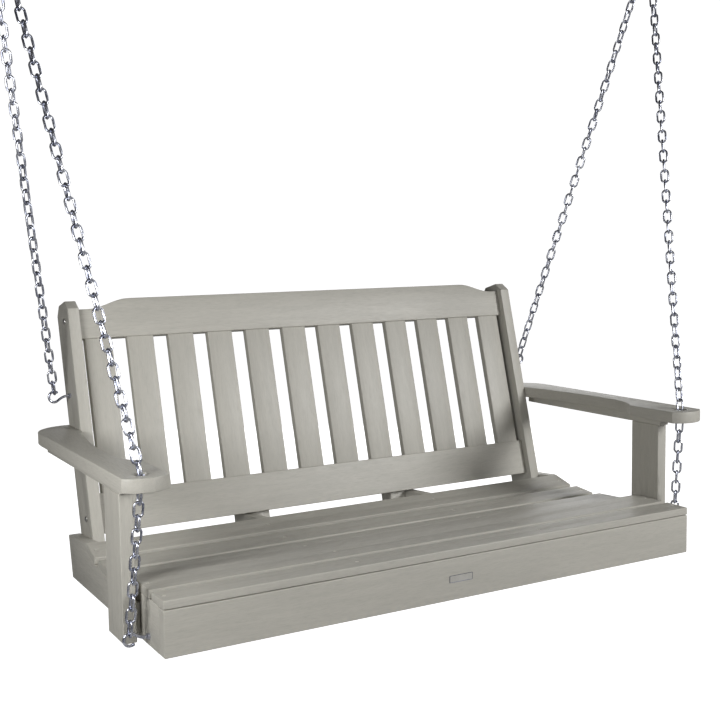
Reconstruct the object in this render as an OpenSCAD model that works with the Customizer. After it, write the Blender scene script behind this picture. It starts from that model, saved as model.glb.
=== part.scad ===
// Two-seat porch swing: plastic-lumber bench on chains, hung from two ceiling hooks.
// X runs along the seat, the front faces -Y, Z is up. Everything is in millimetres.
// The frame's origin is midway between the two ceiling hooks, on the ceiling.

/* [Lumber] */
// Length of the apron and of every seat slat
seat_w = 1219.2; // [1000:0.1:1500]
// Thickness of the structural boards
board_t = 25.4; // [20:0.1:30]
// Width of the structural boards
board_w = 85; // [75:0.5:95]
// Thickness of the slats
slat_t = 16; // [12:0.5:20]
// Width of the narrow slats
slat_w = 60; // [50:0.5:66]
// Radius of the eased long edges
edge_r = 2; // [1:0.25:4]

/* [Back] */
// Lean of the back from vertical, degrees
back_lean = 15; // [8:0.5:20]
// Front edge of the back's foot, behind the apron face
back_y = 502.3; // [495:0.1:520]
// Height of the bottom rail's lower edge
back_z = 97.4; // [92:0.1:110]
// Height of the top rail's lower edge, along the back
top_rail_low = 416; // [380:1:440]
// Height of the top rail at its two ends, along the back
top_rail_end = 480.7; // [470:0.1:490]
// Height of the top rail's raised middle, along the back
top_rail_high = 501.6; // [495:0.1:520]
// Half length of the raised middle
top_rail_flat = 442; // [380:1:460]
// Length of the stiles above the back's foot
stile_top = 500; // [495:1:510]
// Length of the stiles below the back's foot
stile_low = 83; // [60:1:84]
// Corner cut on the stile tops
stile_cut = 20; // [10:1:24]
// How far the stiles stand in front of the rails
stile_step = 16; // [8:0.5:20]
// Number of back slats
back_slats = 12; // [10:1:12]
// Spacing of the back slats
back_pitch = 94.2; // [85:0.1:96]

/* [Arms] */
// Height of the arm's upper face
arm_z = 313.4; // [290:0.1:340]
// Outer edge of the arms
arm_x = 667.8; // [660:0.1:680]
// Front corners of the arms, behind the apron face
arm_y = 22.4; // [10:0.1:40]
// Bulge of the arm's rounded front
arm_bulge = 20; // [10:1:30]
// Radius of the arm's rear outer corner
arm_rear_r = 75; // [50:1:80]
// Outer face of the arm posts
post_x = 647.4; // [645:0.1:650]
// Front face of the arm posts
post_y = 104; // [98:0.5:115]
// Height of the batten under each arm
brace_h = 19; // [15:0.5:25]
// Bore in the arm for the front chain
chain_hole_d = 28; // [27:0.5:32]

/* [Chain] */
// Wire of the chain links
wire_d = 4.8; // [4:0.1:5]
// Outer width of a link
link_w = 21; // [20:0.5:22]
// Nominal spacing of the links
link_pitch = 24.5; // [23:0.1:26]
// Wire of the four seat hooks
hook_wire = 5.6; // [5:0.1:6]
// Outer diameter of the four seat hooks
hook_d = 28; // [26:0.5:30]
// Wire of the ceiling hooks
ceil_wire = 8; // [7:0.5:9]
// Outer diameter of the ceiling hooks
ceil_d = 40; // [38:1:44]

/* [Hanging] */
// Half the spacing of the ceiling hooks
hang_x = 795.5; // [760:0.5:820]
// Ceiling hooks, behind the apron face
hang_y = 321; // [315:0.5:330]
// Swing axis above the apron's lower edge
hang_z = 1408; // [1350:1:1450]

/* [View] */
// Which sub-part to draw

/* [Hidden] */
$fn = 48;

// Colours
lumber = [0.72, 0.71, 0.68];
lumber_dark = [0.62, 0.61, 0.58];
zinc = [0.78, 0.79, 0.82];
plate = [0.55, 0.58, 0.62];

// Seat frame
half_w = seat_w / 2;
rail_x = half_w - board_t;
mid_x = 216;
apron_h = 85;
seat_top = apron_h + slat_t;
rail_back_y = 556;
rail_back_top = [576.5, 87];
label_size = [54, 1, 14];

// Seat slats from rear to front: front upper edge [y, z], tilt and width
seat_rows = [
    [390, 81, 15.5, slat_w],
    [308, 76, 6, slat_w],
    [200, 84, -3, board_w],
    [72, seat_top, 0, board_w]
];

// Back frame
stile_x = rail_x - board_t;
groove_depth = 12;
bottom_rail_h = board_w;
cleat_t = 41.5;
cleat_w = 45;
cleat_low = -70;
cleat_high = 80;
cleat_x = mid_x - board_t / 2 - cleat_t;
slat_step = (board_t - slat_t) / 2;
stile_back = stile_step - board_w;

// Arms
arm_low = arm_z - board_t;
arm_in = arm_x - board_w;
arm_rear = 632;
brace_low = arm_low - brace_h;
brace_front = 98;
brace_rear = 575;
post_in = post_x - board_t;
spacer_t = post_in - half_w;
spacer_w = 55;
spacer_low = 12;
spacer_y = post_y + (board_w - spacer_w) / 2;
hole_x = 627;
hole_y = 42;
knee_z = arm_z - 3.4;

// Hooks: where each shank enters its board
front_hook_at = [half_w, 76, 18];
rear_hook_s = 300;
rear_hook_n = -32;
hook_reach = 35;
hook_r = (hook_d - hook_wire) / 2;
hook_shank_d = 6;
hook_grip = 22;
hook_through = board_t + 7;
hook_collar = [15, 2.5, 8];
hook_nut = [11.5, 5];
ceil_collar = [24, 3];
hook_point = 0.8;
ceil_r = (ceil_d - ceil_wire) / 2;
ceil_neck = 30;
ceil_grip = 45;
ceil_lean = 9;
ceiling_z = hang_z + ceil_r * (1 + cos(ceil_lean)) + ceil_neck;
hook_mouth = 62;

// Fasteners
screw_d = 4;
screw_head_d = 8;
screw_head_h = 2;
screw_len = 34;
bolt_d = 6;
bolt_head_d = 12;
bolt_head_h = 4;
screw_long = 60;
screw_sunk = 0.5;
dowel_d = 8;
dowel_len = 40;
dowel_in_apron = 15;
bolt_in = 18;

// Play between the links, at a hook and at the bend above the arm
slack = 0.1;
hook_gap = 0.4;
ceil_gap = 0.7;
knee_gap = 0.25;

// ---- helpers ----

// Moves seat coordinates into the frame at the ceiling
module place() {
    translate([0, -hang_y, -ceiling_z]) children();
}

// Draws the children on the right (side = 1) or mirrored to the left (side = -1)
module on_side(side) {
    if (side > 0) children();
    else mirror([1, 0, 0]) children();
}

// Stands children on the leaning back: x across, y along the back, z out of its front
module on_back() {
    translate([0, back_y, back_z]) rotate([90 - back_lean, 0, 0]) children();
}

// Point at height s along the back and n in front of the rails
function back_point(x, s, n) = [
    x,
    back_y + s * sin(back_lean) - n * cos(back_lean),
    back_z + s * cos(back_lean) + n * sin(back_lean)
];

// Rectangle with eased corners
module eased_rect(w, t, r) {
    translate([r, 0]) square([w - 2 * r, t]);
    translate([0, r]) square([w, t - 2 * r]);
    for (x = [r, w - r], y = [r, t - r]) translate([x, y]) circle(r);
}

// Board lying along X, centred on it, with its upper front edge on the origin
module x_board(length, w, t) {
    rotate([90, 0, 90])
        translate([0, 0, -length / 2])
            linear_extrude(length) translate([0, -t]) eased_rect(w, t, edge_r);
}

// Board standing on the origin along Z, x thick and y deep
module z_board(height, t, w) {
    linear_extrude(height) eased_rect(t, w, edge_r);
}

// Side outline in y and z, extruded from x0 to x0 + t
module side_plate(x0, t, outline) {
    translate([x0, 0, 0]) rotate([90, 0, 90]) linear_extrude(t) polygon(outline);
}

// Corner of seat slat k: u along its width, v below its upper face
function slat_corner(k, u, v) = [
    seat_rows[k][0] + u * cos(seat_rows[k][2]) + v * sin(seat_rows[k][2]),
    seat_rows[k][1] + u * sin(seat_rows[k][2]) - v * cos(seat_rows[k][2])
];

// ---- seat ----

function rail_outline(front_y) = [
    [front_y, 0],
    [rail_back_y, 0],
    rail_back_top,
    slat_corner(0, slat_w, 0),
    for (k = [0 : 3]) each [
        slat_corner(k, seat_rows[k][3], slat_t),
        slat_corner(k, 0, slat_t)
    ],
    [front_y, apron_h]
];

module rail(x0) {
    side_plate(x0, board_t, rail_outline(board_t));
}

function screw_rows() = [[slat_w / 2, -1], for (k = [0 : 3]) [seat_rows[k][3] / 2, k]];
function screw_xs() = [-half_w + board_t / 2, -mid_x, mid_x, half_w - board_t / 2];

// Puts children at every seat screw, z = 0 on the slat's upper face, -z into the rail
module at_seat_screws(only = -2) {
    for (row = screw_rows(), x = screw_xs()) {
        if (only == -2 || only == row[1]) {
            k = row[1];
            y = k < 0 ? row[0] : slat_corner(k, row[0], 0)[0];
            z = k < 0 ? seat_top : slat_corner(k, row[0], 0)[1];
            a = k < 0 ? 0 : seat_rows[k][2];
            translate([x, y, z]) rotate([a, 0, 0]) children();
        }
    }
}

module screw_shape() {
    translate([0, 0, -screw_head_h - screw_sunk]) cylinder(d = screw_head_d, h = screw_head_h);
    translate([0, 0, -screw_len]) cylinder(d = screw_d, h = screw_len - screw_head_h);
}

module screw_bore() {
    translate([0, 0, -screw_head_h - screw_sunk]) cylinder(d = screw_head_d, h = screw_head_h + 1);
    translate([0, 0, -screw_len]) cylinder(d = screw_d, h = screw_len);
}

module apron() {
    color(lumber) place() difference() {
        translate([0, 0, apron_h]) x_board(seat_w, board_t, apron_h);
        at_seat_screws(-1) screw_bore();
        apron_dowel_set();
    }
}

module nosing() {
    color(lumber) place() difference() {
        translate([0, 0, seat_top]) x_board(seat_w, slat_w, slat_t);
        at_seat_screws(-1) screw_bore();
    }
}

module seat_slat(k) {
    color(lumber) place() difference() {
        translate([0, seat_rows[k][0], seat_rows[k][1]])
            rotate([seat_rows[k][2], 0, 0]) x_board(seat_w, seat_rows[k][3], slat_t);
        at_seat_screws(k) screw_bore();
    }
}

module side_rail(side) {
    color(lumber_dark) place() on_side(side) difference() {
        rail(rail_x);
        at_seat_screws() screw_bore();
        stile_bolt_set();
        post_bolt_set();
        apron_dowel_set();
        translate(front_hook_at) hook_bore(hook_grip);
    }
}

module mid_rail(side) {
    color(lumber_dark) place() on_side(side) difference() {
        rail(mid_x - board_t / 2);
        at_seat_screws() screw_bore();
        apron_dowel_set();
        cleat_screw_set();
    }
}

// ---- back ----

// Short upright that ties a middle rail to the back of the bottom rail
module mid_cleat(side) {
    color(lumber_dark) place() on_side(side) difference() {
        on_back()
            translate([cleat_x, cleat_low, -board_t - cleat_w])
                cube([cleat_t, cleat_high - cleat_low, cleat_w]);
        cleat_screw_set();
    }
}

module stile_outline() {
    polygon([
        [-stile_low, stile_back],
        [stile_top - stile_cut, stile_back],
        [stile_top, stile_back + stile_cut],
        [stile_top, stile_step - stile_cut],
        [stile_top - stile_cut, stile_step],
        [-stile_low, stile_step]
    ]);
}

module stile(side) {
    color(lumber_dark) place() on_side(side) difference() {
        on_back() translate([stile_x, 0, 0]) rotate([90, 0, 90]) linear_extrude(board_t) stile_outline();
        back_bolt_set();
        stile_bolt_set();
        arm_screw_set();
        translate(back_point(rail_x, rear_hook_s, rear_hook_n)) hook_bore(hook_through);
    }
}

// Half outline of the top rail's upper edge: flat middle, S-shaped shoulder, low end
shoulder_end = 535;
function shoulder(f) = top_rail_high - (top_rail_high - top_rail_end) * (1 - cos(180 * f)) / 2;
shoulder_steps = 10;

module top_rail_outline() {
    rise = [
        for (i = [0 : shoulder_steps])
            [top_rail_flat + (shoulder_end - top_rail_flat) * i / shoulder_steps, shoulder(i / shoulder_steps)]
    ];
    right = concat(rise, [[stile_x, top_rail_end], [stile_x, top_rail_low]]);
    left = [for (i = [len(right) - 1 : -1 : 0]) [-right[i][0], right[i][1]]];
    polygon(concat(right, left));
}

module slat_blank(k) {
    x = (k - (back_slats + 1) / 2) * back_pitch;
    translate([x - slat_w / 2, bottom_rail_h - groove_depth, -slat_step - slat_t])
        cube([slat_w, top_rail_low - bottom_rail_h + 2 * groove_depth, slat_t]);
}

module top_rail() {
    color(lumber) place() difference() {
        on_back() difference() {
            translate([0, 0, -board_t]) linear_extrude(board_t) top_rail_outline();
            for (k = [1 : back_slats]) slat_blank(k);
        }
        back_bolt_set();
        mirror([1, 0, 0]) back_bolt_set();
    }
}

module bottom_rail() {
    color(lumber) place() difference() {
        on_back() difference() {
            translate([-stile_x, 0, -board_t]) rotate([90, 0, 90])
                linear_extrude(2 * stile_x) eased_rect(bottom_rail_h, board_t, edge_r);
            for (k = [1 : back_slats]) slat_blank(k);
        }
        for (m = [0, 1]) mirror([m, 0, 0]) {
            back_bolt_set();
            cleat_screw_set();
        }
    }
}

module back_slat(k) {
    color(lumber) place() on_back() slat_blank(k);
}

// ---- arms ----

// Right arm seen from above: x outwards, y rearwards
arm_waist = [
    [arm_in, 154],
    [600, 176], [611, 205], [616, 240], [616, 290], [613, 345], [608, 400], [602, 450], [596, 490], [590, 515],
    [rail_x, 530]
];
arm_steps = 12;
arm_front_r = (pow(board_w / 2, 2) + pow(arm_bulge, 2)) / (2 * arm_bulge);
arm_front_a = asin(board_w / 2 / arm_front_r);

module arm_outline() {
    front_mid = [arm_x - board_w / 2, arm_y + arm_front_r * cos(arm_front_a)];
    front = [
        for (i = [0 : arm_steps])
            let (a = arm_front_a * (1 - 2 * i / arm_steps))
            [front_mid[0] + arm_front_r * sin(a), front_mid[1] - arm_front_r * cos(a)]
    ];
    rear = [
        for (i = [0 : arm_steps])
            let (a = 90 - 90 * i / arm_steps)
            [arm_x - arm_rear_r + arm_rear_r * cos(a), arm_rear - arm_rear_r + arm_rear_r * sin(a)]
    ];
    polygon(concat(arm_waist, [[rail_x, arm_rear]], rear, front));
}

module arm(side) {
    color(lumber) place() on_side(side) difference() {
        translate([0, 0, arm_low]) linear_extrude(board_t) arm_outline();
        translate([hole_x, hole_y, arm_low - 1]) cylinder(d = chain_hole_d, h = board_t + 2);
        arm_screw_set();
    }
}

module arm_post(side) {
    color(lumber) place() on_side(side) difference() {
        translate([post_in, post_y, 0]) z_board(brace_low, board_t, board_w);
        post_bolt_set();
        arm_screw_set();
    }
}

module arm_brace(side) {
    color(lumber_dark) place() on_side(side) difference() {
        translate([post_in, brace_front, brace_low]) cube([board_t, brace_rear - brace_front, brace_h]);
        arm_screw_set();
    }
}

module post_spacer(side) {
    color(lumber_dark) place() on_side(side) difference() {
        translate([half_w, spacer_y, spacer_low]) cube([spacer_t, spacer_w, spacer_w]);
        post_bolt_set();
    }
}

// ---- fasteners ----

// Domed bolt pointing along -x, its head's seat on the origin
module bolt(grip) {
    rotate([0, 90, 0]) {
        translate([0, 0, -grip]) cylinder(d = bolt_d, h = grip + bolt_head_h / 2);
        cylinder(d = bolt_head_d, h = bolt_head_h / 2);
        translate([0, 0, bolt_head_h / 2]) cylinder(d1 = bolt_head_d, d2 = bolt_head_d / 2, h = bolt_head_h / 2);
    }
}

// Right-hand sets of fasteners, drawn in seat coordinates
module back_bolt_set() {
    for (s = [35, 458])
        translate(back_point(rail_x, s, -board_t / 2)) bolt(board_t + 40);
}

module stile_bolt_set() {
    for (s = [-25, -62])
        translate(back_point(stile_x, s, (stile_step + stile_back) / 2))
            mirror([1, 0, 0]) bolt(board_t + bolt_in);
}

module post_bolt_set() {
    for (z = [25, 54])
        translate([rail_x, post_y + board_w / 2, z]) mirror([1, 0, 0]) bolt(board_t + spacer_t + bolt_in);
}

module arm_screw_set() {
    for (y = [220, 330, 440, 550])
        translate([post_in + board_t / 2, y, brace_low]) mirror([0, 0, 1]) screw_shape();
    for (y = [post_y + 22, post_y + 62])
        translate([post_in + board_t / 2, y, brace_low + brace_h]) screw_shape();
    for (y = [588, 610])
        translate([stile_x, y, arm_z - board_t / 2]) rotate([0, -90, 0]) long_screw();
}

// Long screw, its head's face on the origin, pointing along -z
module long_screw() {
    translate([0, 0, -screw_head_h]) cylinder(d = screw_head_d, h = screw_head_h);
    translate([0, 0, -screw_long]) cylinder(d = screw_d, h = screw_long - screw_head_h / 2);
}

module cleat_screw_set() {
    for (s = [-20, -50])
        translate(back_point(cleat_x, s, -board_t - cleat_w / 2)) rotate([0, -90, 0]) long_screw();
    for (s = [25, 60])
        on_back() translate([cleat_x + cleat_t / 2, s, -board_t - cleat_w])
            mirror([0, 0, 1]) long_screw();
}

module apron_dowel_set() {
    for (x = screw_xs(), z = [25, 60])
        translate([x, board_t - dowel_in_apron, z]) rotate([-90, 0, 0]) cylinder(d = dowel_d, h = dowel_len);
}

module label_plate() {
    color(plate) place()
        translate([-label_size[0] / 2, -label_size[1], (apron_h - label_size[2]) / 2]) cube(label_size);
}

// ---- hooks ----

// Bore for a hook's screwed shank, opening on the origin towards +x
module hook_bore(grip) {
    translate([-grip, 0, 0]) rotate([0, 90, 0]) cylinder(d = hook_shank_d, h = grip + 1);
}

// Open round hook in the x-z plane: shank along x, mouth below the shank
module seat_hook(grip) {
    translate([-grip, 0, 0]) rotate([0, 90, 0])
        cylinder(d = hook_shank_d, h = grip + hook_reach - hook_r);
    translate([hook_collar[2], 0, 0]) rotate([0, 90, 0]) cylinder(d = hook_collar[0], h = hook_collar[1]);
    translate([hook_reach, 0, 0]) rotate([90, 0, 0]) {
        rotate([0, 0, 180 + hook_mouth])
            rotate_extrude(angle = 360 - hook_mouth) translate([hook_r, 0]) circle(d = hook_wire);
        rotate([0, 0, 180 + hook_mouth]) translate([hook_r, 0, 0]) sphere(d = hook_wire + hook_point);
        translate([-hook_r, 0, 0]) sphere(d = hook_wire + hook_point);
    }
}

module ceiling_hook(side) {
    color(zinc) place() on_side(side) translate(ceil_ring) {
        rotate([90, 0, 0]) {
            rotate([0, 0, 90 + hook_mouth])
                rotate_extrude(angle = 360 - hook_mouth) translate([ceil_r, 0]) circle(d = ceil_wire);
            rotate([0, 0, 90 + hook_mouth]) translate([ceil_r, 0, 0]) sphere(d = ceil_wire + hook_point);
            rotate([0, 0, 90]) translate([ceil_r, 0, 0]) sphere(d = ceil_wire + hook_point);
        }
        translate([0, 0, ceil_r]) cylinder(d = ceil_wire, h = ceil_neck + ceil_grip);
        translate([0, 0, ceil_r + ceil_neck - ceil_collar[1]])
            cylinder(d = ceil_collar[0], h = ceil_collar[1]);
    }
}

module front_hook(side) {
    color(zinc) place() on_side(side) translate(front_hook_at) seat_hook(hook_grip);
}

module rear_hook(side) {
    color(zinc) place() on_side(side) translate(back_point(rail_x, rear_hook_s, rear_hook_n))
        mirror([0, 0, 1]) seat_hook(hook_through);
}

// Nut on the rear hook's shank where it comes through the stile
module rear_hook_nut() {
    translate(back_point(stile_x, rear_hook_s, rear_hook_n)) rotate([0, -90, 0]) difference() {
        cylinder(d = hook_nut[0], h = hook_nut[1], $fn = 6);
        translate([0, 0, -1]) cylinder(d = hook_shank_d, h = hook_nut[1] + 2);
    }
}

// ---- chains ----

// One link along z, centred, in the x-z plane; its slightly thinner sides sink into the round ends
side_thin = 0.04;
side_sink = 0.4;

module chain_link(inner) {
    straight = inner + wire_d - 2 * link_r;
    for (m = [0, 1]) mirror([0, 0, m])
        translate([0, 0, straight / 2]) rotate([90, 0, 0])
            rotate_extrude(angle = 180) translate([link_r, 0]) circle(d = wire_d);
    for (x = [-link_r, link_r])
        translate([x, 0, -straight / 2 - side_sink])
            cylinder(d = wire_d - side_thin, h = straight + 2 * side_sink);
}

// Taut run of links down from a to b. The first and last links' end wires stand past a and b
// by ra and rb. turn is the first link's angle about the run, twist is spread over the run.
module chain_run(a, b, ra, rb, turn, twist) {
    d = a - b;
    total = norm(d) + ra + rb;
    n = round(total / link_pitch);
    inner = (total - wire_d + (n - 1) * slack) / n;
    tip = acos(d[2] / norm(d));
    heading = atan2(d[1], d[0]);
    translate(a) rotate([0, tip, heading]) rotate([0, 0, -heading])
        for (i = [0 : n - 1])
            translate([0, 0, ra - (inner + wire_d) / 2 - i * (inner - slack)])
                rotate([0, 0, turn + 90 * i + twist * i / (n - 1)]) chain_link(inner);
}

// The top link hangs square on the ceiling hook and leans in with the two chains it carries
link_r = (link_w - wire_d) / 2;
ceil_ring = [hang_x, hang_y, hang_z + ceil_r * cos(ceil_lean)];
top_link_drop = ceil_r - ceil_wire / 2 - ceil_gap + link_pitch / 2;

// Point on the top link's plane: y across and z above the centre of its lower round end
function top_link_point(y, z) = ceil_ring + [
    -(top_link_drop + link_pitch / 2 + wire_d / 2 - link_r - z) * sin(ceil_lean),
    y,
    -(top_link_drop + link_pitch / 2 + wire_d / 2 - link_r - z) * cos(ceil_lean)
];

module top_link() {
    translate(ceil_ring) rotate([0, ceil_lean, 0]) translate([0, 0, -top_link_drop])
        rotate([0, 0, 90]) chain_link(link_pitch);
}

knee = [hole_x, hole_y, knee_z];
front_ring = front_hook_at + [hook_reach, 0, hook_r];
rear_ring = back_point(rail_x, rear_hook_s, rear_hook_n) + [hook_reach, 0, hook_r];
pair_y = 2.5;
pair_z = -1.95;
ring_end = (hook_wire + wire_d) / 2 + hook_gap;
knee_end = wire_d / 2 + knee_gap;

module front_chain(side) {
    color(zinc) place() on_side(side) {
        top_link();
        chain_run(top_link_point(-pair_y, pair_z), knee, 0, knee_end, 0, 0);
        chain_run(knee, front_ring, knee_end, ring_end, 0, 0);
    }
}

module rear_chain(side) {
    color(zinc) place() on_side(side)
        chain_run(top_link_point(pair_y, pair_z), rear_ring, 0, ring_end, 0, 90);
}

// ---- fastener nodes ----

module both_sides() {
    children();
    mirror([1, 0, 0]) children();
}

module seat_screws() { color(zinc) place() at_seat_screws() screw_shape(); }
module back_bolts() { color(zinc) place() both_sides() back_bolt_set(); }
module stile_bolts() { color(zinc) place() both_sides() stile_bolt_set(); }
module post_bolts() { color(zinc) place() both_sides() post_bolt_set(); }
module arm_screws() { color(zinc) place() both_sides() arm_screw_set(); }
module cleat_screws() { color(zinc) place() both_sides() cleat_screw_set(); }
module apron_dowels() { color(lumber_dark) place() apron_dowel_set(); }
module hook_nuts() { color(zinc) place() both_sides() rear_hook_nut(); }

// ---- what is drawn ----

apron();
nosing();
seat_slat(0);  // seat_slat_1
seat_slat(1);  // seat_slat_2
seat_slat(2);  // seat_slat_3
seat_slat(3);  // seat_slat_4
side_rail(-1);  // side_rail_left
side_rail(1);  // side_rail_right
mid_rail(-1);  // mid_rail_left
mid_rail(1);  // mid_rail_right
mid_cleat(-1);  // mid_cleat_left
mid_cleat(1);  // mid_cleat_right
stile(-1);  // stile_left
stile(1);  // stile_right
top_rail();
bottom_rail();
back_slat(1);  // back_slat_1
back_slat(2);  // back_slat_2
back_slat(3);  // back_slat_3
back_slat(4);  // back_slat_4
back_slat(5);  // back_slat_5
back_slat(6);  // back_slat_6
back_slat(7);  // back_slat_7
back_slat(8);  // back_slat_8
back_slat(9);  // back_slat_9
back_slat(10);  // back_slat_10
back_slat(11);  // back_slat_11
back_slat(12);  // back_slat_12
arm(-1);  // arm_left
arm(1);  // arm_right
arm_post(-1);  // arm_post_left
arm_post(1);  // arm_post_right
arm_brace(-1);  // arm_brace_left
arm_brace(1);  // arm_brace_right
post_spacer(-1);  // post_spacer_left
post_spacer(1);  // post_spacer_right
label_plate();
seat_screws();
back_bolts();
stile_bolts();
post_bolts();
arm_screws();
cleat_screws();
apron_dowels();
hook_nuts();
front_hook(-1);  // front_hook_left
front_hook(1);  // front_hook_right
rear_hook(-1);  // rear_hook_left
rear_hook(1);  // rear_hook_right
front_chain(-1);  // front_chain_left
front_chain(1);  // front_chain_right
rear_chain(-1);  // rear_chain_left
rear_chain(1);  // rear_chain_right
ceiling_hook(-1);  // ceiling_hook_left
ceiling_hook(1);  // ceiling_hook_right
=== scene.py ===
import math
import random

import bmesh
import bpy
import numpy as np
from mathutils import Matrix, Vector


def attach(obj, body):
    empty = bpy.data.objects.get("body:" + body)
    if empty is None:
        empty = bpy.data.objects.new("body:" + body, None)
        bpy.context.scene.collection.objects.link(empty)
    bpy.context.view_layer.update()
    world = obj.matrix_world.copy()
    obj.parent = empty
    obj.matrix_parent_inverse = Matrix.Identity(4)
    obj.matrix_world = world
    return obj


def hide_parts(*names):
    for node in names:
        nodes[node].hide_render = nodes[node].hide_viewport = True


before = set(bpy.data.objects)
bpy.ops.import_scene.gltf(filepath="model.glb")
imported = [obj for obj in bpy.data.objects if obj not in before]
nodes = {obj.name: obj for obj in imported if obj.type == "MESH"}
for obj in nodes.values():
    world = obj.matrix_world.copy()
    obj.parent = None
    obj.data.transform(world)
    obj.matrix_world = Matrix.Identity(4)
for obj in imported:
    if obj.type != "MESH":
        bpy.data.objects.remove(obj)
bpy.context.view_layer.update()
ceilingHeight = 1.469803  # from the apron's lower edge up to the ceiling
hangDepth = 0.321  # from the apron's face back to the ceiling hooks
mergeDistance = 0.00002  # points nearer than this become one


def seatPoint(x, y, z):
    return Vector((x, y - hangDepth, z - ceilingHeight))


def deselectAll():
    if bpy.context.object and bpy.context.object.mode != "OBJECT":
        bpy.ops.object.mode_set(mode="OBJECT")
    bpy.ops.object.select_all(action="DESELECT")


def pick(piece):
    deselectAll()
    piece.select_set(True)
    bpy.context.view_layer.objects.active = piece


def applyModifier(piece, kind, **values):
    pick(piece)
    modifier = piece.modifiers.new(kind.title(), kind)
    for key, value in values.items():
        setattr(modifier, key, value)
    bpy.ops.object.modifier_apply(modifier=modifier.name)


# Camera and light

cameraSettings = {
    "place": seatPoint(-1.24146, -1.77347, 0.70396),
    "yaw": 29.57,
    "pitch": -5.41,
    "roll": -0.86,
    "lens": 56.55,
    "shiftX": 0.00997,
    "shiftY": -0.01975,
}


def addCamera():
    yaw, pitch, roll = (math.radians(cameraSettings[k]) for k in ("yaw", "pitch", "roll"))
    forward = Vector((math.sin(yaw) * math.cos(pitch), math.cos(yaw) * math.cos(pitch), math.sin(pitch)))
    level = Vector((math.cos(yaw), -math.sin(yaw), 0))
    upright = level.cross(forward)
    right = level * math.cos(roll) + upright * math.sin(roll)
    up = upright * math.cos(roll) - level * math.sin(roll)
    bpy.ops.object.camera_add()
    camera = bpy.context.object
    camera.name = "camera"
    camera.data.lens = cameraSettings["lens"]
    camera.data.shift_x = cameraSettings["shiftX"]
    camera.data.shift_y = cameraSettings["shiftY"]
    turned = Matrix((right, up, -forward)).transposed().to_4x4()
    camera.matrix_world = Matrix.Translation(cameraSettings["place"]) @ turned
    bpy.context.scene.camera = camera
    print("camera placed")


lightSettings = {
    "ambient": 0.04,
    "seenWhite": 1.05,
    "key": {"place": (2.3, -3.1, 0.1), "aim": (0, 0.1, -1.2), "size": 1.0, "power": 102},
    "fill": {"place": (0.3, -3.6, 0.6), "aim": (0.1, 0, -1.2), "size": 1.8, "power": 10},
    "left": {"place": (-1.45, -0.65, -0.85), "aim": (-0.6, 0, -1.2), "size": 0.5, "power": 11},
    "wall": {"place": (2.0, 3.4, -0.3), "aim": (0.1, 0, -1.3), "size": 3.2, "power": 66},
    "floorDrop": 1.89,
    "floorSize": 30,
    "floorRough": 0.9,
    "floorGlow": 0.04,
    "floorColour": (0.4, 0.4, 0.4, 1),
}


def addLight(name):
    settings = lightSettings[name]
    bpy.ops.object.light_add(type="AREA", location=settings["place"])
    lamp = bpy.context.object
    lamp.name = name + "Light"
    lamp.data.size = settings["size"]
    lamp.data.energy = settings["power"]
    aim = Vector(settings["aim"]) - Vector(settings["place"])
    lamp.rotation_euler = aim.to_track_quat("-Z", "Y").to_euler()


def seenOrLit(tree, lit, target):
    # plain white where the backdrop is seen, its own strength where it lights the swing
    rays = tree.nodes.new("ShaderNodeLightPath")
    strength = tree.nodes.new("ShaderNodeMapRange")
    strength.inputs["To Min"].default_value = lit
    strength.inputs["To Max"].default_value = lightSettings["seenWhite"]
    tree.links.new(rays.outputs["Is Camera Ray"], strength.inputs["Value"])
    tree.links.new(strength.outputs["Result"], target)


def addStudio():
    world = bpy.data.worlds.new("studio")
    bpy.context.scene.world = world
    world.use_nodes = True
    background = world.node_tree.nodes["Background"]
    background.inputs["Color"].default_value = (1, 1, 1, 1)
    seenOrLit(world.node_tree, lightSettings["ambient"], background.inputs["Strength"])
    for name in ("key", "fill", "left", "wall"):
        addLight(name)
    place = (0, 0, -lightSettings["floorDrop"])
    bpy.ops.mesh.primitive_plane_add(size=lightSettings["floorSize"], location=place)
    floor = bpy.context.object
    floor.name = "floor"
    material = bpy.data.materials.new("paleFloor")
    material.use_nodes = True
    shader = material.node_tree.nodes["Principled BSDF"]
    shader.inputs["Base Color"].default_value = lightSettings["floorColour"]
    shader.inputs["Roughness"].default_value = lightSettings["floorRough"]
    shader.inputs["Emission Color"].default_value = (1, 1, 1, 1)
    seenOrLit(material.node_tree, lightSettings["floorGlow"], shader.inputs["Emission Strength"])
    floor.data.materials.append(material)
    bpy.context.scene.view_settings.view_transform = "Standard"
    print("studio ready")


# Materials

lumberLook = {
    "colour": (0.440, 0.425, 0.378),
    # painted highlight: the lighter colour laid on sharp edges
    "worn": (0.520, 0.505, 0.455),
    "groove": 0.86,  # tone of the darkest streaks, where 1 leaves the colour alone
    "streak": 0.95,
    "cloud": 0.045,
    "patch": 0.035,
    "rough": (0.58, 0.38),  # in the dark streaks and on the light ones
    "streaksPerMetre": 620,
    "stretch": 0.085,
    "finePerBroad": 7,
    "scratchesPerFine": 2,
    "scratchStretch": 0.5,
    "wanderScale": (2.2, 9, 9),
    "wanderReach": 0.012,
    "patchScale": (1.3, 6, 6),
    "patchSize": 1.6,
    "grooveBelow": 0.30,
    "streakAt": 0.42,
    "smoothAbove": 0.58,
    "smooth": 1.02,
    "blendFrom": 0.35,
    "blendTo": 0.65,
    # how sharp an edge must be to get the painted highlight, and how much of it
    "highlightFrom": 0.50,
    "highlightTo": 0.56,
    "highlightShare": 0.35,
    "broadRelief": 0.8,
    "scratchRelief": 0.35,
    "bumpStrength": 0.55,
    "relief": 0.00022,
}

# each noise's detail and how rough it is
noiseDetail = {
    "wander": (2, 0.5),
    "fine": (4, 0.62),
    "broad": (3, 0.55),
    "patch": (2, 0.5),
    "scratch": (2, 0.7),
    "metal": (3, 0.6),
}
noiseEnds = (0.3, 0.7)  # the part of a noise's range that it mostly keeps to


def grey(value):
    return (value, value, value)


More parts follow.
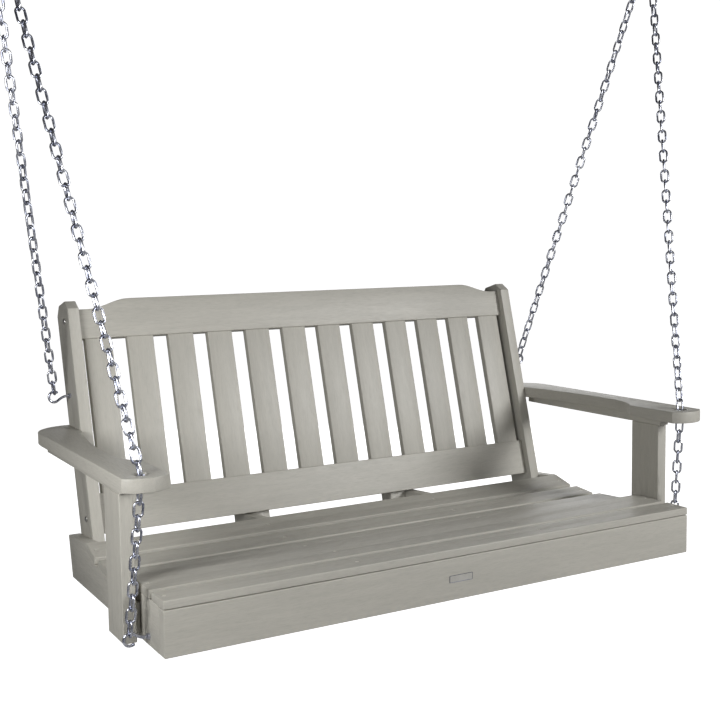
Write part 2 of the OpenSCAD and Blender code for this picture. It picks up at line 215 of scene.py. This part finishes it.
def noiseNode(tree, vector, scale, name):
    detail, rough = noiseDetail[name]
    noise = tree.nodes.new("ShaderNodeTexNoise")
    noise.inputs["Scale"].default_value = scale
    noise.inputs["Detail"].default_value = detail
    noise.inputs["Roughness"].default_value = rough
    tree.links.new(vector, noise.inputs["Vector"])
    return noise


def mappedVector(tree, vector, scale):
    mapping = tree.nodes.new("ShaderNodeMapping")
    mapping.inputs["Scale"].default_value = scale
    tree.links.new(vector, mapping.inputs["Vector"])
    return mapping.outputs["Vector"]


def rampNode(tree, value, stops):
    ramp = tree.nodes.new("ShaderNodeValToRGB")
    while len(ramp.color_ramp.elements) < len(stops):
        ramp.color_ramp.elements.new(0.5)
    for element, (at, colour) in zip(ramp.color_ramp.elements, stops):
        element.position = at
        element.color = (*colour, 1)
    tree.links.new(value, ramp.inputs["Fac"])
    return ramp


def mathNode(tree, operation, first, second):
    node = tree.nodes.new("ShaderNodeMath")
    node.operation = operation
    for socket, value in zip(node.inputs, (first, second)):
        if isinstance(value, (int, float)):
            socket.default_value = value
        else:
            tree.links.new(value, socket)
    return node.outputs["Value"]


def mixColour(tree, mode, amount, first, second):
    mix = tree.nodes.new("ShaderNodeMix")
    mix.data_type = "RGBA"
    mix.blend_type = mode
    sockets = {s.identifier: s for s in mix.inputs}
    for key, value in (("Factor_Float", amount), ("A_Color", first), ("B_Color", second)):
        if isinstance(value, float):
            sockets[key].default_value = value
        elif isinstance(value, tuple):
            sockets[key].default_value = (*value, 1)
        else:
            tree.links.new(value, sockets[key])
    return [s for s in mix.outputs if s.identifier == "Result_Color"][0]


def roughBetween(tree, value, ends, shader):
    # roughness at the noise's low and high ends
    rough = tree.nodes.new("ShaderNodeMapRange")
    tree.links.new(value, rough.inputs["Value"])
    rough.inputs["From Min"].default_value, rough.inputs["From Max"].default_value = noiseEnds
    rough.inputs["To Min"].default_value, rough.inputs["To Max"].default_value = ends
    tree.links.new(rough.outputs["Result"], shader.inputs["Roughness"])


def lumberMaterial():
    material = bpy.data.materials.new("grainedLumber")
    material.use_nodes = True
    tree = material.node_tree
    shader = tree.nodes["Principled BSDF"]
    grain = tree.nodes.new("ShaderNodeAttribute")
    grain.attribute_name = "grain"
    along = grain.outputs["Vector"]
    stretch = lumberLook["stretch"]
    perMetre = lumberLook["streaksPerMetre"]
    # slow sideways wander makes the streaks run together and part again
    wander = noiseNode(tree, mappedVector(tree, along, lumberLook["wanderScale"]), 1.0, "wander")
    wanderStep = tree.nodes.new("ShaderNodeVectorMath")
    wanderStep.operation = "MULTIPLY_ADD"
    tree.links.new(wander.outputs["Color"], wanderStep.inputs[0])
    wanderStep.inputs[1].default_value = (0, lumberLook["wanderReach"], lumberLook["wanderReach"])
    tree.links.new(along, wanderStep.inputs[2])
    wandered = wanderStep.outputs["Vector"]
    fine = noiseNode(tree, mappedVector(tree, wandered, (stretch, 1, 1)), perMetre, "fine")
    broadPerMetre = perMetre / lumberLook["finePerBroad"]
    broad = noiseNode(tree, mappedVector(tree, wandered, (stretch, 1, 1)), broadPerMetre, "broad")
    patchVector = mappedVector(tree, along, lumberLook["patchScale"])
    patch = noiseNode(tree, patchVector, lumberLook["patchSize"], "patch")
    scratchVector = mappedVector(tree, wandered, (stretch * lumberLook["scratchStretch"], 1, 1))
    scratch = noiseNode(tree, scratchVector, perMetre * lumberLook["scratchesPerFine"], "scratch")
    fineStops = [
        (lumberLook["grooveBelow"], grey(lumberLook["groove"])),
        (lumberLook["streakAt"], grey(lumberLook["streak"])),
        (lumberLook["smoothAbove"], grey(lumberLook["smooth"])),
    ]
    fineRamp = rampNode(tree, fine.outputs["Fac"], fineStops)
    cloud, blotch = lumberLook["cloud"], lumberLook["patch"]
    low, high = lumberLook["blendFrom"], lumberLook["blendTo"]
    broadRamp = rampNode(tree, broad.outputs["Fac"], [(low, grey(1 - cloud)), (high, grey(1 + cloud))])
    patchRamp = rampNode(tree, patch.outputs["Fac"], [(low, grey(1 - blotch)), (high, grey(1 + blotch))])
    toned = mixColour(tree, "MULTIPLY", 1.0, fineRamp.outputs["Color"], lumberLook["colour"])
    toned = mixColour(tree, "MULTIPLY", 1.0, toned, broadRamp.outputs["Color"])
    toned = mixColour(tree, "MULTIPLY", 1.0, toned, patchRamp.outputs["Color"])
    # painted highlight: edges are lightened where the surface turns sharply, standing in for light caught
    # on them
    edgeSharpness = tree.nodes.new("ShaderNodeNewGeometry")
    highlightStops = [(lumberLook["highlightFrom"], grey(0)), (lumberLook["highlightTo"], grey(lumberLook["highlightShare"]))]
    worn = rampNode(tree, edgeSharpness.outputs["Pointiness"], highlightStops)
    finished = mixColour(tree, "MIX", worn.outputs["Color"], toned, lumberLook["worn"])
    tree.links.new(finished, shader.inputs["Base Color"])
    roughBetween(tree, fine.outputs["Fac"], lumberLook["rough"], shader)
    broadHeight = mathNode(tree, "MULTIPLY", broad.outputs["Fac"], lumberLook["broadRelief"])
    scratchHeight = mathNode(tree, "MULTIPLY", scratch.outputs["Fac"], lumberLook["scratchRelief"])
    height = mathNode(tree, "ADD", fine.outputs["Fac"], broadHeight)
    height = mathNode(tree, "ADD", height, scratchHeight)
    bump = tree.nodes.new("ShaderNodeBump")
    bump.inputs["Strength"].default_value = lumberLook["bumpStrength"]
    bump.inputs["Distance"].default_value = lumberLook["relief"]
    tree.links.new(height, bump.inputs["Height"])
    tree.links.new(bump.outputs["Normal"], shader.inputs["Normal"])
    return material


# texture scales are in cells per metre
metalGrain = {
    "spangle": 420,
    "cloud": 60,
    "dullBelow": 0.36,
    "brightAbove": 0.60,
    "bumpStrength": 0.4,
}

metalLook = {
    "chain": {
        "bright": (0.74, 0.76, 0.84),
        "dull": (0.34, 0.36, 0.45),
        "rough": (0.20, 0.38),
        "relief": 0.00006,
        "metallic": 1.0,
    },
    "hook": {
        "bright": (0.76, 0.78, 0.86),
        "dull": (0.38, 0.40, 0.50),
        "rough": (0.17, 0.34),
        "relief": 0.00004,
        "metallic": 1.0,
    },
    "bolt": {
        "bright": (0.74, 0.73, 0.71),
        "dull": (0.50, 0.49, 0.47),
        "rough": (0.24, 0.42),
        "relief": 0.00003,
        "metallic": 1.0,
    },
    "screw": {
        "bright": (0.66, 0.64, 0.58),
        "dull": (0.58, 0.56, 0.50),
        "rough": (0.38, 0.52),
        "relief": 0.00003,
        "metallic": 0.3,
    },
    "plateRim": {
        "bright": (0.10, 0.11, 0.16),
        "dull": (0.07, 0.08, 0.11),
        "rough": (0.40, 0.55),
        "relief": 0.00002,
        "metallic": 0.3,
    },
    "plateFace": {
        "bright": (0.46, 0.45, 0.42),
        "dull": (0.40, 0.39, 0.36),
        "rough": (0.40, 0.55),
        "relief": 0.00002,
        "metallic": 0.1,
    },
}


def metalMaterial(name):
    look = metalLook[name]
    material = bpy.data.materials.new(name + "Metal")
    material.use_nodes = True
    tree = material.node_tree
    shader = tree.nodes["Principled BSDF"]
    shader.inputs["Metallic"].default_value = look["metallic"]
    place = tree.nodes.new("ShaderNodeTexCoord").outputs["Object"]
    spangle = noiseNode(tree, place, metalGrain["spangle"], "metal")
    cloud = noiseNode(tree, place, metalGrain["cloud"], "metal")
    stops = [(metalGrain["dullBelow"], look["dull"]), (metalGrain["brightAbove"], look["bright"])]
    tint = rampNode(tree, cloud.outputs["Fac"], stops)
    tree.links.new(tint.outputs["Color"], shader.inputs["Base Color"])
    roughBetween(tree, spangle.outputs["Fac"], look["rough"], shader)
    bump = tree.nodes.new("ShaderNodeBump")
    bump.inputs["Strength"].default_value = metalGrain["bumpStrength"]
    bump.inputs["Distance"].default_value = look["relief"]
    tree.links.new(spangle.outputs["Fac"], bump.inputs["Height"])
    tree.links.new(bump.outputs["Normal"], shader.inputs["Normal"])
    return material


# Lumber boards

backLean = math.radians(15)
upBack = Vector((0, math.sin(backLean), math.cos(backLean)))
acrossX, acrossY, acrossZ = Vector((1, 0, 0)), Vector((0, 1, 0)), Vector((0, 0, 1))


def tilted(degrees):
    # front to back across a seat slat whose rear edge is raised by these degrees
    return Vector((0, math.cos(math.radians(degrees)), math.sin(math.radians(degrees))))


boardLook = {
    "bevel": 0.0018,
    "seam": 0.0012,
    "seamReach": 0.0025,
    "segments": 3,
    "sharpAngle": 50,
    "smoothAngle": 35,
    "flatAngle": 0.5,
    "grainOffset": 40,
    "seed": 11,
}

# grain direction, then the direction across the board's wide face
boardGrain = {
    "apron": (acrossX, acrossZ),
    "nosing": (acrossX, acrossY),
    "seat_slat_1": (acrossX, tilted(15.5)),
    "seat_slat_2": (acrossX, tilted(6)),
    "seat_slat_3": (acrossX, tilted(-3)),
    "seat_slat_4": (acrossX, acrossY),
    "top_rail": (acrossX, upBack),
    "bottom_rail": (acrossX, upBack),
}
for side in ("left", "right"):
    boardGrain["side_rail_" + side] = (acrossY, acrossZ)
    boardGrain["mid_rail_" + side] = (acrossY, acrossZ)
    boardGrain["mid_cleat_" + side] = (upBack, acrossX.cross(upBack))
    boardGrain["stile_" + side] = (upBack, acrossX.cross(upBack))
    boardGrain["arm_" + side] = (acrossY, acrossX)
    boardGrain["arm_post_" + side] = (acrossZ, acrossY)
    boardGrain["arm_brace_" + side] = (acrossY, acrossX)
    boardGrain["post_spacer_" + side] = (acrossZ, acrossY)
for count in range(1, 13):
    boardGrain["back_slat_%d" % count] = (upBack, acrossX)


def camelName(node):
    first, *rest = node.split("_")
    return first + "".join(part.title() for part in rest)


def copyOfNode(node):
    pick(nodes[node])
    bpy.ops.object.duplicate()
    piece = bpy.context.object
    piece.name = camelName(node)
    for key in [k for k in piece.keys() if k.startswith("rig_")]:
        del piece[key]
    world = piece.matrix_world.copy()
    piece.parent = None
    piece.matrix_world = world
    piece.data.materials.clear()
    bpy.ops.object.mode_set(mode="EDIT")
    bpy.ops.mesh.select_all(action="SELECT")
    bpy.ops.mesh.remove_doubles(threshold=mergeDistance)
    bpy.ops.mesh.customdata_custom_splitnormals_clear()
    bpy.ops.object.mode_set(mode="OBJECT")
    return piece


def addGrain(piece, alongBoard, acrossBoard, offset):
    through = alongBoard.cross(acrossBoard)
    grain = piece.data.attributes.new("grain", "FLOAT_VECTOR", "POINT")
    for vertex, entry in zip(piece.data.vertices, grain.data):
        p = vertex.co
        entry.vector = Vector((p.dot(alongBoard), p.dot(acrossBoard), p.dot(through))) + offset


def makeBoards(material):
    dice = random.Random(boardLook["seed"])
    for node, (alongBoard, acrossBoard) in boardGrain.items():
        piece = copyOfNode(node)
        if node == "apron":
            # a thin open seam under the nosing
            top = max(vertex.co.z for vertex in piece.data.vertices)
            for vertex in piece.data.vertices:
                if vertex.co.z > top - boardLook["seamReach"]:
                    vertex.co.z -= boardLook["seam"]
        bpy.ops.object.mode_set(mode="EDIT")
        bpy.ops.mesh.select_all(action="SELECT")
        bpy.ops.mesh.dissolve_limited(angle_limit=math.radians(boardLook["flatAngle"]))
        bpy.ops.object.mode_set(mode="OBJECT")
        applyModifier(
            piece,
            "BEVEL",
            width=boardLook["bevel"],
            segments=boardLook["segments"],
            limit_method="ANGLE",
            angle_limit=math.radians(boardLook["sharpAngle"]),
            use_clamp_overlap=False,
            harden_normals=False,
        )
        applyModifier(piece, "TRIANGULATE", min_vertices=5)
        pick(piece)
        bpy.ops.object.shade_smooth_by_angle(angle=math.radians(boardLook["smoothAngle"]))
        reach = boardLook["grainOffset"]
        offset = Vector([dice.uniform(-reach, reach) for axis in range(3)])
        addGrain(piece, alongBoard, acrossBoard, offset)
        piece.data.materials.append(material)
        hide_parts(node)
        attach(piece, "swing")
    print("boards finished:", len(boardGrain))


def joined(parts, name):
    deselectAll()
    for part in parts:
        part.select_set(True)
    bpy.context.view_layer.objects.active = parts[0]
    bpy.ops.object.join()
    piece = bpy.context.object
    piece.name = name
    bpy.ops.object.mode_set(mode="EDIT")
    bpy.ops.mesh.select_all(action="SELECT")
    bpy.ops.mesh.normals_make_consistent(inside=False)
    bpy.ops.object.mode_set(mode="OBJECT")
    return piece


# Chains

linkShape = {
    "wire": 0.0048,
    "width": 0.021,
    "rings": 16,
    "facets": 6,
    "weld": 1.16,
}


def modelLink(length):
    bend = (linkShape["width"] - linkShape["wire"]) / 2
    deselectAll()
    turn = math.pi / linkShape["rings"]  # half a step, so that two rings face each other across the waist
    bpy.ops.mesh.primitive_torus_add(
        major_radius=bend,
        minor_radius=linkShape["wire"] / 2,
        major_segments=linkShape["rings"],
        minor_segments=linkShape["facets"],
    )
    link = bpy.context.object
    link.data.transform(Matrix.Rotation(math.pi / 2, 4, "X") @ Matrix.Rotation(turn, 4, "Z"))
    stretch = (length - linkShape["width"]) / 2
    shape = bmesh.new()
    shape.from_mesh(link.data)
    for vertex in shape.verts:
        vertex.co.z += stretch if vertex.co.z > 0 else -stretch
    # the weld: one straight side gets a ring in its middle, slightly fatter
    longEdges = []
    for edge in shape.edges:
        first, second = (vertex.co for vertex in edge.verts)
        if abs(first.z - second.z) > stretch and first.x > 0:
            longEdges.append(edge)
    cut = bmesh.ops.subdivide_edges(shape, edges=longEdges, cuts=1)
    ring = [v for v in cut["geom_inner"] if isinstance(v, bmesh.types.BMVert)]
    middle = sum((v.co for v in ring), Vector()) / len(ring)
    for vertex in ring:
        vertex.co = middle + (vertex.co - middle) * linkShape["weld"]
    shape.to_mesh(link.data)
    shape.free()
    return link


def partClouds(node):
    piece = copyOfNode(node)
    pick(piece)
    bpy.ops.object.mode_set(mode="EDIT")
    bpy.ops.mesh.select_all(action="SELECT")
    bpy.ops.mesh.separate(type="LOOSE")
    bpy.ops.object.mode_set(mode="OBJECT")
    parts = list(bpy.context.selected_objects)
    clouds = [np.array([tuple(v.co) for v in part.data.vertices]) for part in parts]
    for part in parts:
        bpy.data.objects.remove(part)
    return sorted(clouds, key=lambda cloud: -cloud[:, 2].max())


def linkFrame(cloud):
    centre = (cloud.max(axis=0) + cloud.min(axis=0)) / 2
    spread = np.linalg.svd(cloud - cloud.mean(axis=0), full_matrices=False)[2]
    across, along = Vector(spread[1]), Vector(spread[0])
    reach = (cloud - centre) @ spread[0]
    low, high = reach.min(), reach.max()
    through = along.cross(across)
    turn = Matrix((across, through, along)).transposed().to_4x4()
    return Vector((high + low) / 2 * spread[0] + centre), turn, float(high - low)


# how far the middle of each run is turned about its own line: degrees, top and bottom of the run
runTwists = {
    "front_chain_right": [
        (40, seatPoint(0, 0, 1.39).z, seatPoint(0, 0, 0.31).z),
        (40, seatPoint(0, 0, 0.31).z, seatPoint(0, 0, 0.03).z),
    ],
}


def runTwist(node, z):
    for degrees, top, bottom in runTwists.get(node, []):
        if bottom < z < top:
            return math.radians(degrees) * math.sin(math.pi * (top - z) / (top - bottom))
    return 0.0


def makeChains(material):
    for node in ("front_chain_left", "front_chain_right", "rear_chain_left", "rear_chain_right"):
        links = []
        for cloud in partClouds(node):
            centre, turn, length = linkFrame(cloud)
            link = modelLink(length)
            twist = Matrix.Rotation(runTwist(node, centre.z), 4, "Z")
            if turn.col[2].z < 0:
                twist.invert()
            link.data.transform(Matrix.Translation(centre) @ turn @ twist)
            links.append(link)
        chain = joined(links, camelName(node))
        bpy.ops.object.shade_smooth()
        chain.data.materials.append(material)
        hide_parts(node)
        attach(chain, "swing")
        print(node, "links:", len(links))


# Screws and bolts

fastenerLook = {
    "headRadius": {"screw": 0.004, "bolt": 0.006},
    "shankRadius": {"screw": 0.002, "bolt": 0.003},
    "headHeight": {"screw": 0.002, "bolt": 0.004},
    "facets": 24,
    "starPoints": 6,
    "starReach": 0.5,
    "starDepth": 0.72,
    "tipTaper": 0.6,
    "smoothAngle": 40,
}

# radius and height as fractions of the head, from its rim to the middle
headShape = {
    "screw": [(1.0, 0.0), (1.0, 0.80), (0.93, 0.97), (0.60, 1.0), (0.48, 1.0), (0.44, 0.35), (0.1, 0.30)],
    "bolt": [(1.0, 0.0), (1.0, 0.34), (0.93, 0.56), (0.76, 0.78), (0.50, 0.94), (0.22, 1.0), (0.05, 1.0)],
}


def turned(profile, facets):
    # a round piece about z, drawn ring by ring from the profile's first point to its last
    deselectAll()
    bpy.ops.mesh.primitive_circle_add(vertices=facets, radius=profile[0][0], fill_type="NGON")
    piece = bpy.context.object
    shape = bmesh.new()
    shape.from_mesh(piece.data)
    for vertex in shape.verts:
        vertex.co.z = profile[0][1]
    face = shape.faces[:][0]
    for radius, height in profile[1:]:
        face = bmesh.ops.extrude_discrete_faces(shape, faces=[face])["faces"][0]
        for vertex in face.verts:
            flat = vertex.co.to_2d().normalized() * radius
            vertex.co = Vector((flat.x, flat.y, height))
    shape.to_mesh(piece.data)
    shape.free()
    return piece


def modelFastener(kind, length):
    head, shank = fastenerLook["headRadius"][kind], fastenerLook["shankRadius"][kind]
    tall = fastenerLook["headHeight"][kind]
    profile = [(shank * fastenerLook["tipTaper"], -length), (shank, shank - length), (shank, -tall)]
    profile += [(head * reach, -tall * (1 - rise)) for reach, rise in headShape[kind]]
    piece = turned(profile, fastenerLook["facets"])
    if kind == "screw":
        # the star-shaped recess: every other pair of its ring's corners is pulled in
        period = fastenerLook["facets"] // fastenerLook["starPoints"]
        for vertex in piece.data.vertices:
            flat = vertex.co.to_2d()
            if flat.length < head * fastenerLook["starReach"] and vertex.co.z > -tall:
                step = round(math.atan2(flat.y, flat.x) / math.tau * fastenerLook["facets"])
                if step % period >= period // 2:
                    vertex.co.x *= fastenerLook["starDepth"]
                    vertex.co.y *= fastenerLook["starDepth"]
    return piece


def makeFasteners(node, kind, material):
    parts = []
    for cloud in partClouds(node):
        centre, turn, length = linkFrame(cloud)
        axis = turn.col[2].to_3d()
        reach = (cloud - np.array(centre)) @ np.array(axis)
        away = np.linalg.norm(cloud - np.array(centre) - np.outer(reach, np.array(axis)), axis=1)
        if reach[away.argmax()] < 0:
            turn = turn @ Matrix.Rotation(math.pi, 4, "X")
            axis = -axis
        part = modelFastener(kind, length)
        part.data.transform(Matrix.Translation(centre + axis * length / 2) @ turn)
        parts.append(part)
    piece = joined(parts, camelName(node))
    bpy.ops.object.shade_smooth_by_angle(angle=math.radians(fastenerLook["smoothAngle"]))
    piece.data.materials.append(material)
    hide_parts(node)
    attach(piece, "swing")
    print(node, "pieces:", len(parts))


# Seat hooks

hookLook = {
    "wire": 0.0056,
    "ring": 0.0112,
    "reach": 0.035,
    "straight": 0.009,
    "bevelSteps": 4,
    "joinsAt": 128,
    "tipAt": 120,
    "arcSteps": 30,
    "bendSteps": 8,
    "nutRadius": 0.0058,
    "nutHeight": 0.0045,
    "nutSides": 6,
    "tipSwell": 1.12,
    "tipSegments": 12,
    "tipRings": 8,
    "smoothAngle": 40,
}


def hookPath(grip):
    # distances out from the board's face and up: a straight shank, a soft bend, then the open ring
    ring, reach = hookLook["ring"], hookLook["reach"]
    startAngle, tipAngle = -hookLook["joinsAt"], hookLook["tipAt"]
    begin = math.radians(startAngle)
    entry = (reach + ring * math.cos(begin), ring * math.sin(begin))
    straight = hookLook["straight"]
    # the bend's middle control point lies where the shank's line meets the ring's tangent
    slope = math.cos(begin) / -math.sin(begin)
    control = entry[0] - entry[1] / slope
    path = [(-grip, 0.0), (0.0, 0.0), (straight, 0.0)]
    for step in range(1, hookLook["bendSteps"]):
        t = step / hookLook["bendSteps"]
        x = (1 - t) ** 2 * straight + 2 * t * (1 - t) * control + t * t * entry[0]
        path.append((x, t * t * entry[1]))
    for step in range(hookLook["arcSteps"] + 1):
        angle = math.radians(startAngle + (tipAngle - startAngle) * step / hookLook["arcSteps"])
        path.append((reach + ring * math.cos(angle), ring * math.sin(angle)))
    return path


def makeHook(node, base, side, upward, grip, material):
    deselectAll()
    path = hookPath(grip)
    bpy.ops.curve.primitive_nurbs_path_add()
    wire = bpy.context.object
    spline = wire.data.splines[0]
    spline.type = "POLY"
    spline.points.add(len(path) - len(spline.points))
    for point, (x, z) in zip(spline.points, path):
        point.co = (base.x + side * x, base.y, base.z + upward * z, 1)
    wire.data.bevel_depth = hookLook["wire"] / 2
    wire.data.bevel_resolution = hookLook["bevelSteps"]
    wire.data.use_fill_caps = True
    bpy.ops.object.convert(target="MESH")
    wire = bpy.context.object
    nutProfile = [(hookLook["nutRadius"], 0), (hookLook["nutRadius"], hookLook["nutHeight"])]
    nut = turned(nutProfile, hookLook["nutSides"])
    nut.data.transform(Matrix.Translation(base) @ Matrix.Rotation(side * math.pi / 2, 4, "Y"))
    deselectAll()
    swell = hookLook["wire"] / 2 * hookLook["tipSwell"]
    tip = (base.x + side * path[-1][0], base.y, base.z + upward * path[-1][1])
    bpy.ops.mesh.primitive_uv_sphere_add(
        segments=hookLook["tipSegments"],
        ring_count=hookLook["tipRings"],
        radius=swell,
    )
    ball = bpy.context.object
    ball.data.transform(Matrix.Translation(tip))
    piece = joined([wire, nut, ball], camelName(node))
    bpy.ops.object.shade_smooth_by_angle(angle=math.radians(hookLook["smoothAngle"]))
    piece.data.materials.clear()
    piece.data.materials.append(material)
    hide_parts(node)
    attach(piece, "swing")


# where each right-hand hook's shank meets its board, which way its ring opens, and its grip
seatHooks = {
    "front": (seatPoint(0.6096, 0.076, 0.018), -1, 0.022),
    "rear": (seatPoint(0.5842, 0.61086, 0.3789), 1, 0.0324),
}


def makeHooks(material):
    for end, (base, upward, grip) in seatHooks.items():
        for word, side in (("left", -1), ("right", 1)):
            mirrored = Vector((base.x * side, base.y, base.z))
            makeHook(end + "_hook_" + word, mirrored, side, upward, grip, material)
    print("hooks finished")


# Blank plate on the apron

plateLook = {
    "width": 0.054,
    "height": 0.014,
    "thick": 0.001,
    "border": 0.0011,
    "sunk": 0.0003,
}


def makePlate(rimMaterial, faceMaterial):
    corners = [nodes["label_plate"].matrix_world @ v.co for v in nodes["label_plate"].data.vertices]
    middle = sum(corners, Vector()) / len(corners)
    deselectAll()
    bpy.ops.mesh.primitive_cube_add(size=1, location=(0, 0, 0))
    piece = bpy.context.object
    piece.name = "labelPlate"
    size = Matrix.Diagonal((plateLook["width"], plateLook["thick"], plateLook["height"], 1))
    piece.data.transform(Matrix.Translation(middle) @ size)
    shape = bmesh.new()
    shape.from_mesh(piece.data)
    shape.normal_update()
    front = min(shape.faces, key=lambda face: face.normal.y)
    bmesh.ops.inset_region(shape, faces=[front], thickness=plateLook["border"])
    for vertex in front.verts:
        vertex.co.y += plateLook["sunk"]
    shape.to_mesh(piece.data)
    shape.free()
    piece.data.materials.append(rimMaterial)
    piece.data.materials.append(faceMaterial)
    innerY = middle.y - plateLook["thick"] / 2 + plateLook["sunk"]
    inner = min(piece.data.polygons, key=lambda face: abs(face.center.y - innerY))
    inner.material_index = 1
    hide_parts("label_plate")
    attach(piece, "swing")
    print("plate finished")


def dressNodes(material, names):
    for name in names:
        node = nodes[name]
        node.data.materials.clear()
        node.data.materials.append(material)


addCamera()
addStudio()
lumber = lumberMaterial()
metals = {name: metalMaterial(name) for name in metalLook}
makeBoards(lumber)
makeChains(metals["chain"])
for node in ("seat_screws", "arm_screws", "cleat_screws"):
    makeFasteners(node, "screw", metals["screw"])
for node in ("back_bolts", "stile_bolts", "post_bolts"):
    makeFasteners(node, "bolt", metals["bolt"])
makePlate(metals["plateRim"], metals["plateFace"])
makeHooks(metals["hook"])
dressNodes(metals["hook"], ["ceiling_hook_left", "ceiling_hook_right", "hook_nuts"])
dressNodes(lumber, ["apron_dowels"])
